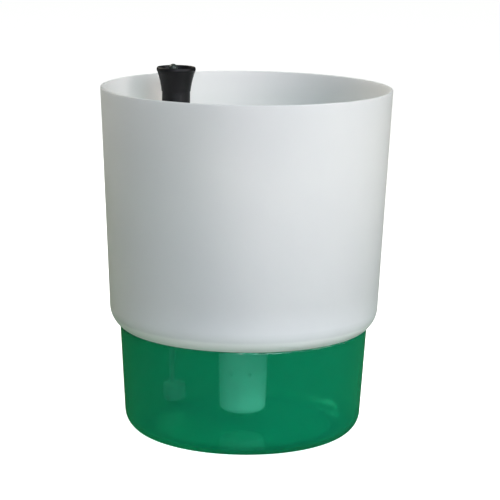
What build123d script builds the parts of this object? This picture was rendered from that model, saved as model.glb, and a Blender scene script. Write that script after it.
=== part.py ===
"""Self watering planter: a white pot standing on a see-through green water reservoir.

A wick well hangs from the middle of the pot floor into the water, and a filler tube with a
funnel mouth passes through the floor near the wall.  A float below the tube lifts a stem
whose tip shows in the funnel how full the reservoir is.

Millimetres, +Z up.  The origin is the centre of the foot, on the surface that it stands on.
The front looks along -Y, and the filler is behind and to the left of the axis.
"""

from build123d import *
import os
from math import atan2, cos, degrees, pi, sin, sqrt, tan, radians

os.makedirs("parts", exist_ok=True)

# ---------------------------------------------------------------- driving dimensions
rest_gap = 0.1            # between a piece and the seat that it stands on
loose_gap = 0.35          # all round a piece that drops into a hole
snug_gap = 0.05           # all round a piece that is pushed home and stays
stop_gap = 0.3            # between the float's stem and what stops it, at either end

# pot
pot_rim_radius = 100.0
pot_rim_height = 240.0
pot_wall = 2.2
pot_draft = 2.56          # degrees that the wall leans outwards
pot_rim_round = 0.6
pot_underside = 72.2      # height of the flat underside
shoulder_radius = 16.5    # convex round between wall and underside
seat_height = 74.7        # flat ring that stands on the reservoir
seat_inner_radius = 83.2  # the step inside it centres the pot
drain_hole_radius = 2.0
drain_ring_radius = 36.0
drain_count = 10
socket_wall = 2.0         # the ring on the floor that the filler tube drops into
socket_top = 80.0
socket_root = 0.6         # how far the ring starts inside the floor
socket_round = 0.6

# reservoir
tank_wall = 2.4
tank_rim_radius = 86.05
tank_foot_radius = 68.5
tank_corner_radius = 14.0
tank_rim_round = 1.0
foot_ring_width = 6.5
foot_recess = 0.8

# wick well
well_top_radius = 17.5
well_bottom_radius = 16.1
well_bottom = 12.5
well_wall = 1.6
well_corner_radius = 4.0
well_flange_radius = 22.0
well_flange = 1.6
well_flange_round = 0.5
well_side_hole_radius = 1.4
well_side_hole_height = 41.0
well_side_hole_count = 8
well_side_hole_start = -73.0      # degrees, the first hole right of the front
well_bottom_hole_radius = 1.75
well_bottom_hole_ring = 8.0
well_bottom_hole_count = 6

# filler tube
filler_x = -50.0
filler_y = 46.0
tube_radius = 9.95
tube_bore = 8.55
tube_bottom = 48.0
tube_top = 231.0
collar_radius = 12.8
collar_height = 1.6
collar_round = 0.5
tube_chamfer = 0.4
stop_width = 2.4
stop_reach = 1.45
stop_root = 0.6             # how deep each nub starts inside the wall
stop_height = 2.2
stop_count = 3

# funnel
funnel_top = 248.0
funnel_neck_radius = 10.25
funnel_flare = (11.2, 237.0)      # radius and height of a point half way up the flare
funnel_flare_end = (13.4, 245.0)
lip_radius = 13.85
lip_height = 246.4
lip_inner_radius = 12.5
lip_inner_height = 247.3
funnel_wall = 1.35
ledge_height = 238.2
ledge_radius = 9.0
ledge_throat_height = 233.5       # where the funnel starts to narrow below its ledge
spigot_length = 12.0
spigot_bore = 7.5
spigot_bore_top = 230.0

# stem guide that sits on the funnel's ledge
guide_ring_height = 1.8
guide_ring_radius = 10.05
guide_ring_wall = 1.15
guide_ring_gap = 0.1
guide_arm_width = 1.6
guide_arm_height = 3.4
guide_hub_radius = 2.6
guide_hub_height = 4.5
guide_arm_count = 3

# float and stem
stem_radius = 1.5
stem_offset = 3.0                 # from the tube's axis, away from the pouring side
float_radius = 7.9
float_height = 12.0
float_bottom = 6.5
float_travel = 45.0
float_edge = 1.5
clip_radius = 4.5
clip_height = 2.0
clip_floor = 0.6                  # plastic below the end of the stem
clip_round = 0.8
stem_collar_radius = 3.0
stem_collar_height = 1.2
tip_radius = 3.2
tip_neck_radius = 2.5
tip_top = 250.0
tip_cover = 3.0                   # plastic above the end of the stem

# ---------------------------------------------------------------- worked out from them
wall_lean = tan(radians(pot_draft))
shoulder_height = pot_underside + shoulder_radius
wall_foot_height = shoulder_height - shoulder_radius * sin(radians(pot_draft))
wall_foot_radius = pot_rim_radius - (pot_rim_height - wall_foot_height) * wall_lean
shoulder_centre = wall_foot_radius - shoulder_radius * cos(radians(pot_draft))
pot_floor = pot_underside + pot_wall

tank_rim_height = seat_height - rest_gap
tank_lean_angle = atan2(
    tank_rim_radius - tank_foot_radius - tank_corner_radius, tank_rim_height - tank_corner_radius
)
tank_floor = tank_wall

well_flange_seat = pot_floor + rest_gap
stem_top = tip_top - tip_cover
guide_hub_top = ledge_height + guide_hub_height
tip_bottom = guide_hub_top + stop_gap
stop_bottom = float_bottom + float_height + float_travel + stop_gap

filler_angle = atan2(filler_y, filler_x)
outwards = (cos(filler_angle), sin(filler_angle), 0)
sideways = (sin(filler_angle), -cos(filler_angle), 0)
stem_x = filler_x + stem_offset * outwards[0]
stem_y = filler_y + stem_offset * outwards[1]

tube_section = Plane(origin=(filler_x, filler_y, 0), x_dir=outwards, z_dir=sideways)
stem_section = Plane(origin=(stem_x, stem_y, 0), x_dir=outwards, z_dir=sideways)
tube_axis = Axis((filler_x, filler_y, 0), (0, 0, 1))
stem_axis = Axis((stem_x, stem_y, 0), (0, 0, 1))


def filler_level(height):
    """A level plane at a height, centred on the tube, its X pointing away from the pot's axis."""
    return Plane(origin=(filler_x, filler_y, height), x_dir=outwards, z_dir=(0, 0, 1))


def shoulder_point(radius_of_arc, height):
    """The radius at which a round about the shoulder's centre has a given height."""
    return shoulder_centre + sqrt(radius_of_arc**2 - (shoulder_height - height) ** 2)


def shoulder_low(radius_of_arc, radius):
    """The height at which a round about the shoulder's centre has a given radius."""
    return shoulder_height - sqrt(radius_of_arc**2 - (radius - shoulder_centre) ** 2)


def on_arc(centre, radius_of_arc, below):
    """A point of a round about centre, a number of degrees below level."""
    angle = radians(below)
    return (centre[0] + radius_of_arc * cos(angle), centre[1] - radius_of_arc * sin(angle))


def write(piece, name):
    """Name a finished piece and write it as its own STEP file."""
    piece.part.label = name
    export_step(piece.part, f"parts/{name}.step")


# ---------------------------------------------------------------- reservoir
tank_corner = (tank_foot_radius, tank_corner_radius)
tank_below = degrees(tank_lean_angle)
tank_inner_corner = tank_corner_radius - tank_wall
foot_inner_radius = tank_foot_radius - foot_ring_width

with BuildPart() as reservoir_tank:
    with BuildSketch(Plane.XZ) as tank_profile:
        with BuildLine():
            wall_low = on_arc(tank_corner, tank_corner_radius, tank_below)
            inner_low = on_arc(tank_corner, tank_inner_corner, tank_below)
            inner_rim = tank_rim_radius - tank_wall / cos(tank_lean_angle)
            Polyline(
                (0, tank_floor),
                (0, foot_recess),
                (foot_inner_radius - foot_recess, foot_recess),
                (foot_inner_radius, 0),
                (tank_foot_radius, 0),
            )
            ThreePointArc((tank_foot_radius, 0), on_arc(tank_corner, tank_corner_radius, 45), wall_low)
            Polyline(wall_low, (tank_rim_radius, tank_rim_height), (inner_rim, tank_rim_height), inner_low)
            ThreePointArc(
                inner_low, on_arc(tank_corner, tank_inner_corner, 45), (tank_foot_radius, tank_floor)
            )
            Line((tank_foot_radius, tank_floor), (0, tank_floor))
        make_face()
        rim_corners = tank_profile.vertices().group_by(Axis.Y)[-1].sort_by(Axis.X)
        fillet(rim_corners[-1], tank_rim_round)
    revolve(axis=Axis.Z)
    inner_rim_edge = reservoir_tank.edges().group_by(Axis.Z)[-1].sort_by(SortBy.LENGTH)[0]
    fillet(inner_rim_edge, tank_rim_round / 2)
write(reservoir_tank, "reservoir_tank")

# ---------------------------------------------------------------- pot
well_hole_radius = well_top_radius + loose_gap
tube_hole_radius = tube_radius + loose_gap
inner_round = shoulder_radius - pot_wall
shoulder = (shoulder_centre, shoulder_height)
seat_outer = (shoulder_point(shoulder_radius, seat_height), seat_height)
seat_step = (seat_inner_radius, shoulder_low(shoulder_radius, seat_inner_radius))
seat_below = degrees(atan2(shoulder_height - seat_height, seat_outer[0] - shoulder_centre))
step_below = degrees(atan2(shoulder_height - seat_step[1], seat_step[0] - shoulder_centre))

with BuildPart() as planter_pot:
    with BuildSketch(Plane.XZ) as pot_profile:
        with BuildLine():
            wall_foot = on_arc(shoulder, shoulder_radius, pot_draft)
            inner_foot = on_arc(shoulder, inner_round, pot_draft)
            rim_inner = pot_rim_radius - pot_wall / cos(radians(pot_draft))
            Line((well_hole_radius, pot_underside), (shoulder_centre, pot_underside))
            ThreePointArc(
                (shoulder_centre, pot_underside),
                on_arc(shoulder, shoulder_radius, (90 + step_below) / 2),
                seat_step,
            )
            Polyline(seat_step, (seat_inner_radius, seat_height), seat_outer)
            ThreePointArc(
                seat_outer, on_arc(shoulder, shoulder_radius, (seat_below + pot_draft) / 2), wall_foot
            )
            Polyline(wall_foot, (pot_rim_radius, pot_rim_height), (rim_inner, pot_rim_height), inner_foot)
            ThreePointArc(inner_foot, on_arc(shoulder, inner_round, 45), (shoulder_centre, pot_floor))
            Polyline(
                (shoulder_centre, pot_floor), (well_hole_radius, pot_floor), (well_hole_radius, pot_underside)
            )
        make_face()
        fillet(pot_profile.vertices().group_by(Axis.Y)[-1], pot_rim_round)
    revolve(axis=Axis.Z)
    # socket that the filler tube drops into
    with BuildSketch(filler_level(pot_floor - socket_root)):
        Circle(tube_hole_radius + socket_wall)
    extrude(amount=socket_top - pot_floor + socket_root)
    socket_face = planter_pot.faces(Select.LAST).sort_by(Axis.Z)[-1]
    fillet(socket_face.edges(), socket_round)
    with BuildSketch(filler_level(pot_underside)):
        Circle(tube_hole_radius)
    extrude(amount=socket_top - pot_underside, mode=Mode.SUBTRACT)
    # drain holes through the floor
    with BuildSketch(Plane.XY.offset(pot_underside)):
        with PolarLocations(drain_ring_radius, drain_count):
            Circle(drain_hole_radius)
    extrude(amount=pot_wall, mode=Mode.SUBTRACT)
write(planter_pot, "planter_pot")

# ---------------------------------------------------------------- wick well
well_lean = atan2(well_top_radius - well_bottom_radius, well_flange_seat - well_bottom - well_corner_radius)
well_corner = (well_bottom_radius - well_corner_radius, well_bottom + well_corner_radius)
well_inner_corner = well_corner_radius - well_wall
well_below = degrees(well_lean)
flange_top = well_flange_seat + well_flange

with BuildPart() as wick_well:
    with BuildSketch(Plane.XZ) as well_profile:
        with BuildLine():
            cup_low = on_arc(well_corner, well_corner_radius, well_below)
            cup_inner_low = on_arc(well_corner, well_inner_corner, well_below)
            Polyline((0, well_bottom + well_wall), (0, well_bottom), (well_corner[0], well_bottom))
            ThreePointArc(
                (well_corner[0], well_bottom), on_arc(well_corner, well_corner_radius, 45), cup_low
            )
            Polyline(
                cup_low,
                (well_top_radius, well_flange_seat),
                (well_flange_radius, well_flange_seat),
                (well_flange_radius, flange_top),
                (well_top_radius - well_wall, flange_top),
                cup_inner_low,
            )
            ThreePointArc(
                cup_inner_low,
                on_arc(well_corner, well_inner_corner, 45),
                (well_corner[0], well_bottom + well_wall),
            )
            Line((well_corner[0], well_bottom + well_wall), (0, well_bottom + well_wall))
        make_face()
        fillet(well_profile.vertices().group_by(Axis.Y)[-1], well_flange_round)
    revolve(axis=Axis.Z)
    # water holes in the bottom, one in the middle and a ring about it
    with BuildSketch(Plane.XY.offset(well_bottom)):
        Circle(well_bottom_hole_radius)
        with PolarLocations(well_bottom_hole_ring, well_bottom_hole_count):
            Circle(well_bottom_hole_radius)
    extrude(amount=well_wall, mode=Mode.SUBTRACT)
    # a row of air holes round the side
    for index in range(well_side_hole_count):
        turn = radians(well_side_hole_start + index * 360 / well_side_hole_count)
        side = (cos(turn), sin(turn), 0)
        outlook = Plane(origin=(0, 0, well_side_hole_height), z_dir=side)
        with BuildSketch(outlook):
            Circle(well_side_hole_radius)
        extrude(amount=well_flange_radius, mode=Mode.SUBTRACT)
write(wick_well, "wick_well")

# ---------------------------------------------------------------- filler tube
collar_bottom = socket_top + rest_gap
collar_top = collar_bottom + collar_height

with BuildPart() as fill_tube:
    with BuildSketch(tube_section) as tube_profile:
        with BuildLine():
            Polyline(
                (tube_bore, tube_bottom),
                (tube_radius, tube_bottom),
                (tube_radius, collar_bottom),
                (collar_radius, collar_bottom),
                (collar_radius, collar_top),
                (tube_radius, collar_top),
                (tube_radius, tube_top),
                (tube_bore, tube_top),
                close=True,
            )
        make_face()
        fillet(tube_profile.vertices().group_by(Axis.X)[-1], collar_round)
        chamfer(tube_profile.vertices().group_by(Axis.Y)[0], tube_chamfer)
    revolve(axis=tube_axis)
    # nubs inside the bore that stop the float
    with BuildSketch(filler_level(stop_bottom)):
        with PolarLocations(tube_bore - stop_reach, stop_count):
            Rectangle(stop_reach + stop_root, stop_width, align=(Align.MIN, Align.CENTER))
    extrude(amount=stop_height)
write(fill_tube, "fill_tube")

# ---------------------------------------------------------------- funnel
spigot_radius = tube_bore - snug_gap
spigot_bottom = tube_top - spigot_length
flare_inner = (funnel_flare_end[0] - funnel_wall, funnel_flare_end[1])
ledge_outer = guide_ring_radius + guide_ring_gap

with BuildPart() as fill_funnel:
    with BuildSketch(tube_section) as funnel_profile:
        with BuildLine():
            Polyline(
                (spigot_bore, spigot_bottom),
                (spigot_radius, spigot_bottom),
                (spigot_radius, tube_top),
                (funnel_neck_radius, tube_top),
            )
            ThreePointArc((funnel_neck_radius, tube_top), funnel_flare, funnel_flare_end)
            Spline(
                funnel_flare_end,
                (lip_radius, lip_height),
                ((lip_radius + lip_inner_radius) / 2, funnel_top),
                (lip_inner_radius, lip_inner_height),
                tangents=((1, 1.2), (-0.25, -1)),
            )
            Polyline(
                (lip_inner_radius, lip_inner_height),
                flare_inner,
                (ledge_outer, ledge_height + guide_ring_height),
                (ledge_outer, ledge_height),
                (ledge_radius, ledge_height),
                (ledge_radius, ledge_throat_height),
                (spigot_bore, spigot_bore_top),
                (spigot_bore, spigot_bottom),
            )
        make_face()
    revolve(axis=tube_axis)
write(fill_funnel, "fill_funnel")

# ---------------------------------------------------------------- stem guide
arm_reach = 2 * guide_ring_radius

with BuildPart() as rod_guide:
    with BuildSketch(filler_level(ledge_height)):
        Circle(guide_ring_radius)
        Circle(guide_ring_radius - guide_ring_wall, mode=Mode.SUBTRACT)
    extrude(amount=guide_ring_height)
    with BuildSketch(filler_level(ledge_height)):
        with Locations((stem_offset, 0)):
            with PolarLocations(0, guide_arm_count):
                Rectangle(arm_reach, guide_arm_width, align=(Align.MIN, Align.CENTER))
        Circle(guide_ring_radius - guide_ring_wall / 2, mode=Mode.INTERSECT)
    extrude(amount=guide_arm_height)
    with BuildSketch(filler_level(ledge_height)):
        with Locations((stem_offset, 0)):
            Circle(guide_hub_radius)
    extrude(amount=guide_hub_height)
    with BuildSketch(filler_level(ledge_height)):
        with Locations((stem_offset, 0)):
            Circle(stem_radius + loose_gap)
    extrude(amount=guide_hub_height, mode=Mode.SUBTRACT)
write(rod_guide, "rod_guide")

# ---------------------------------------------------------------- float stem
stem_bottom = float_bottom - clip_height + clip_floor
float_top = float_bottom + float_height

with BuildPart() as float_rod:
    with BuildSketch(stem_section) as stem_profile:
        with BuildLine():
            Polyline(
                (0, stem_bottom),
                (stem_radius, stem_bottom),
                (stem_radius, float_top),
                (stem_collar_radius, float_top),
                (stem_collar_radius, float_top + stem_collar_height),
                (stem_radius, float_top + stem_collar_height),
                (stem_radius, stem_top),
                (0, stem_top),
                close=True,
            )
        make_face()
    revolve(axis=stem_axis)
write(float_rod, "float_rod")

# ---------------------------------------------------------------- float
with BuildPart() as float_body:
    with BuildSketch(filler_level(float_bottom)):
        Circle(float_radius)
    extrude(amount=float_height)
    fillet(float_body.edges().filter_by(GeomType.CIRCLE), float_edge)
    with BuildSketch(filler_level(float_bottom)):
        with Locations((stem_offset, 0)):
            Circle(stem_radius + snug_gap)
    extrude(amount=float_height, mode=Mode.SUBTRACT)
write(float_body, "float_body")

# ---------------------------------------------------------------- clip under the float
with BuildPart() as float_clip:
    with BuildSketch(stem_section) as clip_profile:
        with BuildLine():
            Polyline(
                (0, float_bottom - clip_height),
                (clip_radius, float_bottom - clip_height),
                (clip_radius, float_bottom),
                (stem_radius + snug_gap, float_bottom),
                (stem_radius + snug_gap, stem_bottom),
                (0, stem_bottom),
                close=True,
            )
        make_face()
        fillet(clip_profile.vertices().group_by(Axis.X)[-1].sort_by(Axis.Y)[0], clip_round)
    revolve(axis=stem_axis)
write(float_clip, "float_clip")

# ---------------------------------------------------------------- indicator tip
dome_middle = (tip_radius * sin(pi / 4), tip_top - tip_radius * (1 - cos(pi / 4)))

with BuildPart() as indicator_tip:
    with BuildSketch(stem_section):
        with BuildLine():
            Polyline(
                (0, tip_top),
                (0, stem_top),
                (stem_radius + snug_gap, stem_top),
                (stem_radius + snug_gap, tip_bottom),
                (tip_neck_radius, tip_bottom),
                (tip_radius, tip_top - tip_radius),
            )
            ThreePointArc((tip_radius, tip_top - tip_radius), dome_middle, (0, tip_top))
        make_face()
    revolve(axis=stem_axis)
write(indicator_tip, "indicator_tip")
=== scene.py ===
"""Looks of the self watering planter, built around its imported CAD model.

Metres, +Z up, in the CAD's own frame.  The planter's front faces -Y, where the camera stands.
"""

import math

import bpy
from mathutils import Matrix, Vector


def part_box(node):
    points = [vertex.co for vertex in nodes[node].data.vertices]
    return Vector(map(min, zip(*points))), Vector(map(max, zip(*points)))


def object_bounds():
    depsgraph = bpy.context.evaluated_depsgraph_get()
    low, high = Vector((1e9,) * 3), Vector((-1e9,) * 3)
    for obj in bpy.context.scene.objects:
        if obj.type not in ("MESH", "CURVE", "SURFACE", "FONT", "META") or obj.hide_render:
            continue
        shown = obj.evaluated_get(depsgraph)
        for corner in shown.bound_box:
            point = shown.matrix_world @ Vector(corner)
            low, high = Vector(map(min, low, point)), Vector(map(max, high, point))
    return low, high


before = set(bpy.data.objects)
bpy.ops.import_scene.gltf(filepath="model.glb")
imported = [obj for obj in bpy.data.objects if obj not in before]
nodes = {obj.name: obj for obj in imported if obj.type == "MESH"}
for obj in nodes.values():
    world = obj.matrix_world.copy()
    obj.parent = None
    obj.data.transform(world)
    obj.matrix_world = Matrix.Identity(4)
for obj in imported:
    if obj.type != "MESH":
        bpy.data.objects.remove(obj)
cad_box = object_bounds()
scene = bpy.context.scene

# ---------------------------------------------------------------- camera
camera_distance = 1.35    # from the planter's axis
camera_height = 0.400
camera_pitch = 0.2000     # radians downwards
camera_roll = 0.0147      # radians, the planter's right side hangs a little lower
camera_yaw = 0.0028
camera_lens = 142.8       # mm
camera_sensor = 36        # mm wide

# ---------------------------------------------------------------- pot's wall
pot_draft = 2.56          # degrees that the wall leans outwards
pot_wall = 0.0022
wall_blur = 0.0003        # half the depth in which the inside's colour turns into the outside's
shoulder_low = 0.080      # heights between which the floor and shoulder turn into the wall
shoulder_high = 0.105
shoulder_share = 0.28     # how much of the light goes through the shoulder, and through the wall
wall_share = 0.55
pot_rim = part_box("planter_pot")[1]
pot_lean = math.tan(math.radians(pot_draft))
pot_wall_middle = pot_rim.x - pot_lean * pot_rim.z - pot_wall / 2

# ---------------------------------------------------------------- plastics
plastic_ior = 1.49
milky_share = 0.55        # how much of the light goes through uncoloured plastic
milky_fade = 0.95         # how dark its darker clouds are
clear_ior = 1.47
clear_haze = 0.12         # how much of the green plastic scatters light
haze_through = 0.4        # how much of that goes on through it
clear_density = 100.0     # absorption per metre

# linear RGB
white_outside = (0.77, 0.77, 0.78), (0.81, 0.81, 0.81)
# painted light: the pot's inside is painted a lighter white than its outside
white_inside_painted_lighter = (0.94, 0.935, 0.93)
green_surface = (0.24, 0.68, 0.52)
green_haze = (0.01, 0.68, 0.40)
green_depth = (0.07, 0.65, 0.56)
green_shadow = (0.92, 0.92, 0.90)
milky_white = (0.93, 0.93, 0.94)
natural_thin = (0.40, 0.48, 0.43)
natural_thick = (0.42, 0.50, 0.45)
black_tints = (0.006, 0.006, 0.0065), (0.014, 0.014, 0.015)
tip_tints = (0.035, 0.045, 0.038), (0.05, 0.06, 0.052)

# ---------------------------------------------------------------- floor
floor_half_width = 12.0
floor_tints = (0.88, 0.88, 0.88), (0.90, 0.90, 0.90)
floor_glow_shown = 0.88   # its own light, as the camera sees it and as the planter gets it
floor_glow_given = 0.45
floor_thrown = (0.27, 0.40, 0.30)
# painted reflection: the floor as glossy rays see it, dark green near the planter and pale far
# from it
floor_painted_reflection = (0.03, 0.12, 0.03), (0.30, 0.34, 0.24)    # near the planter and far from it
mirror_near = 0.5
mirror_far = 1.2

# ---------------------------------------------------------------- dome of light
dome_tint = (0.95, 1.0, 0.88, 1)
dome_start = 0.30         # sine of the height at which the light starts, and is full
dome_full = 0.85
dome_dimmest = 0.01
dome_brightest = 0.17


def make_camera():
    """The camera, built from its own three axes."""
    forward = Vector(
        (
            math.sin(camera_yaw) * math.cos(camera_pitch),
            math.cos(camera_yaw) * math.cos(camera_pitch),
            -math.sin(camera_pitch),
        )
    )
    level_right = Vector((math.cos(camera_yaw), -math.sin(camera_yaw), 0))
    level_up = level_right.cross(forward)
    right = level_right * math.cos(camera_roll) + level_up * math.sin(camera_roll)
    up = level_up * math.cos(camera_roll) - level_right * math.sin(camera_roll)
    turn = Matrix((right, up, -forward)).transposed().to_4x4()
    data = bpy.data.cameras.new("camera")
    data.lens = camera_lens
    data.sensor_width = camera_sensor
    data.clip_start = 0.05
    data.clip_end = 100
    camera = bpy.data.objects.new("camera", data)
    camera.matrix_world = Matrix.Translation((0, -camera_distance, camera_height)) @ turn
    scene.collection.objects.link(camera)
    scene.camera = camera


# ---------------------------------------------------------------- node helpers
class Paint:
    """One material and the nodes that make it."""

    def __init__(self, name):
        self.material = bpy.data.materials.new(name)
        self.material.use_nodes = True
        self.tree = self.material.node_tree
        self.tree.nodes.clear()
        self.out = self.tree.nodes.new("ShaderNodeOutputMaterial")
        self.where = self.tree.nodes.new("ShaderNodeTexCoord").outputs["Object"]

    def add(self, kind, **values):
        """A node with its sockets set or linked; names use _ for a space."""
        node = self.tree.nodes.new(kind)
        for key, value in values.items():
            self.set(node, key.replace("_", " "), value)
        return node

    def set(self, node, key, value):
        """Set a socket's value, or link it if the value is another socket."""
        socket = node.inputs[key]
        if isinstance(value, bpy.types.NodeSocket):
            self.tree.links.new(value, socket)
        elif socket.type == "RGBA" and len(value) == 3:
            socket.default_value = (*value, 1)
        else:
            socket.default_value = value

    def noise(self, scale, detail=2.0, roughness=0.5, stretch=(1, 1, 1), shift=0.0):
        """Noise from 0 to 1 over the piece, scale in waves per metre."""
        mapped = self.add(
            "ShaderNodeMapping", Vector=self.where, Location=(shift, shift, shift), Scale=stretch
        )
        wave = self.add(
            "ShaderNodeTexNoise",
            Vector=mapped.outputs["Vector"],
            Scale=scale,
            Detail=detail,
            Roughness=roughness,
        )
        return wave.outputs["Fac"]

    def span(self, value, low, high, start=0.3, end=0.7):
        """Value from start to end, turned into low to high."""
        node = self.add("ShaderNodeMapRange", Value=value)
        ends = {"From Min": start, "From Max": end, "To Min": low, "To Max": high}
        for key, number in ends.items():
            node.inputs[key].default_value = number
        return node.outputs["Result"]

    def blend(self, factor, first, second):
        """One colour turning into another as factor goes from 0 to 1."""
        node = self.tree.nodes.new("ShaderNodeMix")
        node.data_type = "RGBA"
        # a Mix node has sockets for each data type, and these are its colour ones
        factor_in, first_in, second_in, colour_out = 0, 6, 7, 2
        self.set(node, factor_in, factor)
        self.set(node, first_in, first)
        self.set(node, second_in, second)
        return node.outputs[colour_out]

    def clouds(self, factor, tints):
        """Two tints, mixed by noise."""
        return self.blend(self.span(factor, 0, 1), *tints)

    def calculate(self, operation, first, second):
        """A Math node's result."""
        node = self.tree.nodes.new("ShaderNodeMath")
        node.operation = operation
        self.set(node, 0, first)
        self.set(node, 1, second)
        return node.outputs[0]

    def sum(self, first, second):
        """Two values added together."""
        return self.calculate("ADD", first, second)

    def scaled(self, value, by):
        """A value times a number."""
        return self.calculate("MULTIPLY", value, by)

    def length(self, vector):
        """How long a vector is."""
        node = self.tree.nodes.new("ShaderNodeVectorMath")
        node.operation = "LENGTH"
        self.tree.links.new(vector, node.inputs[0])
        return node.outputs["Value"]

    def split(self):
        """X, Y and Z of the place on the piece."""
        return self.add("ShaderNodeSeparateXYZ", Vector=self.where).outputs

    def outside_of_pot(self):
        """1 on the outer half of the pot's leaning wall and 0 on its inner half."""
        place = self.split()
        flat = self.add("ShaderNodeCombineXYZ", X=place["X"], Y=place["Y"])
        radius = self.length(flat.outputs[0])
        upright = self.sum(radius, self.scaled(place["Z"], -pot_lean))
        return self.span(upright, 0, 1, pot_wall_middle - wall_blur, pot_wall_middle + wall_blur)

    def bump(self, height, depth, strength):
        """A normal from a height that is 0 to 1, over a depth in metres."""
        node = self.add("ShaderNodeBump", Height=height, Distance=depth, Strength=strength)
        return node.outputs["Normal"]

    def satin(self, colour, roughness, normal, specular):
        """The surface of an opaque plastic."""
        node = self.add(
            "ShaderNodeBsdfPrincipled",
            Base_Color=colour,
            Roughness=roughness,
            Normal=normal,
            IOR=plastic_ior,
            Specular_IOR_Level=specular,
        )
        return node.outputs[0]

    def diffuse(self, colour, **values):
        """A matt surface."""
        return self.add("ShaderNodeBsdfDiffuse", Color=colour, **values).outputs[0]

    def translucent(self, colour, normal):
        """Light that comes through from the other side."""
        return self.add("ShaderNodeBsdfTranslucent", Color=colour, Normal=normal).outputs[0]

    def mix(self, factor, first, second):
        """Two shaders mixed."""
        node = self.tree.nodes.new("ShaderNodeMixShader")
        self.set(node, 0, factor)
        self.tree.links.new(first, node.inputs[1])
        self.tree.links.new(second, node.inputs[2])
        return node.outputs[0]

    def finish(self, surface, volume=None):
        """Connect the surface, and a volume if there is one."""
        self.tree.links.new(surface, self.out.inputs["Surface"])
        if volume is not None:
            self.tree.links.new(volume, self.out.inputs["Volume"])
        return self.material


def cover(name, material):
    """Give a CAD node its material."""
    for material_slot in nodes[name].material_slots:
        material_slot.material = material


# ---------------------------------------------------------------- materials
def white_plastic():
    """Satin white polypropylene, a little translucent; its inside is painted lighter than its
    outside, as painted light.
    """
    paint = Paint("white_polypropylene")
    cloud = paint.noise(11, detail=3)
    grain = paint.noise(1400)
    flow = paint.noise(16, stretch=(1, 1, 0.25), shift=0.4)
    outer = paint.clouds(cloud, white_outside)
    # painted light: the inner half of the wall gets a lighter white than the outer half
    colour = paint.blend(paint.outside_of_pot(), white_inside_painted_lighter, outer)
    relief = paint.sum(paint.scaled(grain, 0.02), flow)
    normal = paint.bump(relief, depth=0.0006, strength=0.6)
    polish = paint.sum(paint.scaled(flow, 0.6), paint.scaled(grain, 0.4))
    surface = paint.satin(colour, paint.span(polish, 0.36, 0.48), normal, specular=0.5)
    share = paint.span(
        paint.split()["Z"], shoulder_share, wall_share, shoulder_low, shoulder_high
    )
    return paint.finish(paint.mix(share, surface, paint.translucent(colour, normal)))


def green_plastic():
    """See-through green moulding, a little hazy, that lamps shine through."""
    paint = Paint("clear_green")
    ripple = paint.noise(26, stretch=(1, 1, 0.4))
    cloud = paint.noise(60, detail=4, roughness=0.6)
    normal = paint.bump(ripple, depth=0.0003, strength=0.5)
    clear = paint.add(
        "ShaderNodeBsdfPrincipled",
        Base_Color=green_surface,
        Roughness=paint.span(cloud, 0.05, 0.12),
        Normal=normal,
        IOR=clear_ior,
        Transmission_Weight=1.0,
    )
    hazy = paint.mix(
        haze_through,
        paint.diffuse(green_haze, Normal=normal),
        paint.translucent(green_haze, normal),
    )
    body = paint.mix(clear_haze, clear.outputs[0], hazy)
    open_way = paint.add("ShaderNodeBsdfTransparent", Color=green_shadow)
    path = paint.add("ShaderNodeLightPath")
    surface = paint.mix(path.outputs["Is Shadow Ray"], body, open_way.outputs[0])
    depth = paint.add("ShaderNodeVolumeAbsorption", Color=green_depth, Density=clear_density)
    return paint.finish(surface, depth.outputs[0])


def milky_plastic(name, tint):
    """Uncoloured polypropylene that scatters most of the light and lets some through."""
    paint = Paint(name)
    cloud = paint.noise(40, detail=3)
    grain = paint.noise(1500)
    faded = tuple(milky_fade * part for part in tint)
    colour = paint.clouds(cloud, (faded, tint))
    normal = paint.bump(grain, depth=0.0001, strength=0.4)
    surface = paint.satin(colour, paint.span(cloud, 0.32, 0.45), normal, specular=0.3)
    return paint.finish(paint.mix(milky_share, surface, paint.translucent(colour, normal)))


def black_plastic(name, shift=0.0):
    """Black moulded plastic with a fine satin grain and paler scuffs."""
    paint = Paint(name)
    grain = paint.noise(900, detail=3, shift=shift)
    scuff = paint.noise(70, detail=5, roughness=0.7, stretch=(1, 1, 0.3), shift=shift)
    colour = paint.blend(paint.span(scuff, 0, 1, start=0.5, end=0.8), *black_tints)
    normal = paint.bump(grain, depth=0.00008, strength=0.5)
    return paint.finish(
        paint.satin(colour, paint.span(scuff, 0.42, 0.58), normal, specular=0.25)
    )


def tip_plastic():
    """Dark grey-green tip of the level indicator."""
    paint = Paint("indicator_green")
    cloud = paint.noise(200, detail=3)
    colour = paint.clouds(cloud, tip_tints)
    normal = paint.bump(cloud, depth=0.00005, strength=0.4)
    return paint.finish(
        paint.satin(colour, paint.span(cloud, 0.25, 0.35), normal, specular=0.3)
    )


def floor_paint():
    """Pale matt floor, lit a little from below, that throws a duller and greener light back, and
    shows glossy rays a painted dark green reflection near the planter.
    """
    paint = Paint("pale_floor")
    cloud = paint.noise(3, detail=3)
    path = paint.add("ShaderNodeLightPath")
    strength = paint.span(path.outputs["Is Camera Ray"], floor_glow_given, floor_glow_shown, 0, 1)
    glow = paint.add("ShaderNodeEmission", Color=(1, 1, 1), Strength=strength)
    lit = paint.tree.nodes.new("ShaderNodeAddShader")
    paint.tree.links.new(paint.diffuse(paint.clouds(cloud, floor_tints)), lit.inputs[0])
    paint.tree.links.new(glow.outputs[0], lit.inputs[1])
    # painted reflection: glossy rays see a dark green floor near the planter, paler further out
    away = paint.span(paint.length(paint.where), 0, 1, mirror_near, mirror_far)
    mirrored = paint.diffuse(paint.blend(away, *floor_painted_reflection))
    seen = paint.mix(path.outputs["Is Diffuse Ray"], lit.outputs[0], paint.diffuse(floor_thrown))
    return paint.finish(paint.mix(path.outputs["Is Glossy Ray"], seen, mirrored))


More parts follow.
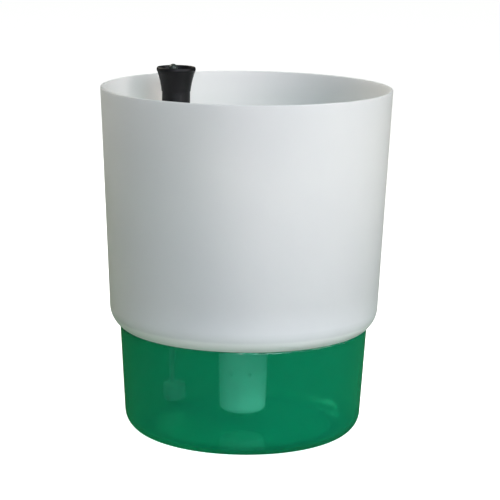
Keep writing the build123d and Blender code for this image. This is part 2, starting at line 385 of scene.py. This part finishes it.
cover("planter_pot", white_plastic())
cover("reservoir_tank", green_plastic())
cover("wick_well", milky_plastic("milky_well", milky_white))
cover("fill_tube", black_plastic("black_tube"))
cover("fill_funnel", black_plastic("black_funnel", shift=0.7))
cover("rod_guide", black_plastic("black_guide", shift=1.9))
cover("float_rod", milky_plastic("natural_stem", natural_thin))
cover("float_body", milky_plastic("natural_float", natural_thick))
cover("float_clip", milky_plastic("natural_clip", natural_thin))
cover("indicator_tip", tip_plastic())


# ---------------------------------------------------------------- floor and light
def make_floor():
    """A wide pale floor under the foot."""
    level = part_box("reservoir_tank")[0].z
    signs = (-1, -1), (1, -1), (1, 1), (-1, 1)
    corners = [(floor_half_width * x, floor_half_width * y, level) for x, y in signs]
    mesh = bpy.data.meshes.new("floor")
    mesh.from_pydata(corners, [], [(0, 1, 2, 3)])
    mesh.materials.append(floor_paint())
    floor = bpy.data.objects.new("floor", mesh)
    scene.collection.objects.link(floor)


def soft_light(name, place, size, power, colour):
    """A square area light that looks at the middle of the planter; power in watts."""
    data = bpy.data.lights.new(name, "AREA")
    data.size = size
    data.energy = power
    data.color = colour
    light = bpy.data.objects.new(name, data)
    middle = (cad_box[0] + cad_box[1]) / 2
    light.location = place
    light.rotation_mode = "QUATERNION"
    light.rotation_quaternion = (middle - Vector(place)).to_track_quat("-Z", "Y")
    scene.collection.objects.link(light)


def make_dome():
    """A wide soft light overhead that fades towards the horizon."""
    world = bpy.data.worlds.new("studio")
    world.use_nodes = True
    tree = world.node_tree
    where = tree.nodes.new("ShaderNodeTexCoord")
    split = tree.nodes.new("ShaderNodeSeparateXYZ")
    fade = tree.nodes.new("ShaderNodeMapRange")
    fade.interpolation_type = "SMOOTHSTEP"
    fade.inputs["From Min"].default_value = dome_start
    fade.inputs["From Max"].default_value = dome_full
    fade.inputs["To Min"].default_value = dome_dimmest
    fade.inputs["To Max"].default_value = dome_brightest
    background = tree.nodes["Background"]
    background.inputs["Color"].default_value = dome_tint
    tree.links.new(where.outputs["Generated"], split.inputs[0])
    tree.links.new(split.outputs["Z"], fade.inputs["Value"])
    tree.links.new(fade.outputs["Result"], background.inputs["Strength"])
    scene.world = world


def make_light():
    """Soft light from overhead, the front, the right and behind on the left."""
    make_dome()
    soft_light("front", (0.5, -1.8, 1.5), size=1.2, power=34, colour=(0.68, 0.90, 1.0))
    soft_light("low_front", (0.1, -1.6, 0.35), size=0.6, power=8, colour=(1.0, 0.72, 0.88))
    soft_light("key", (0.62, -0.36, 0.52), size=0.4, power=3.9, colour=(1.0, 0.95, 0.99))
    soft_light("behind", (-0.85, 0.75, 1.0), size=0.6, power=12.8, colour=(1.0, 0.91, 0.78))


make_floor()
make_light()
make_camera()
scene.view_settings.view_transform = "Standard"
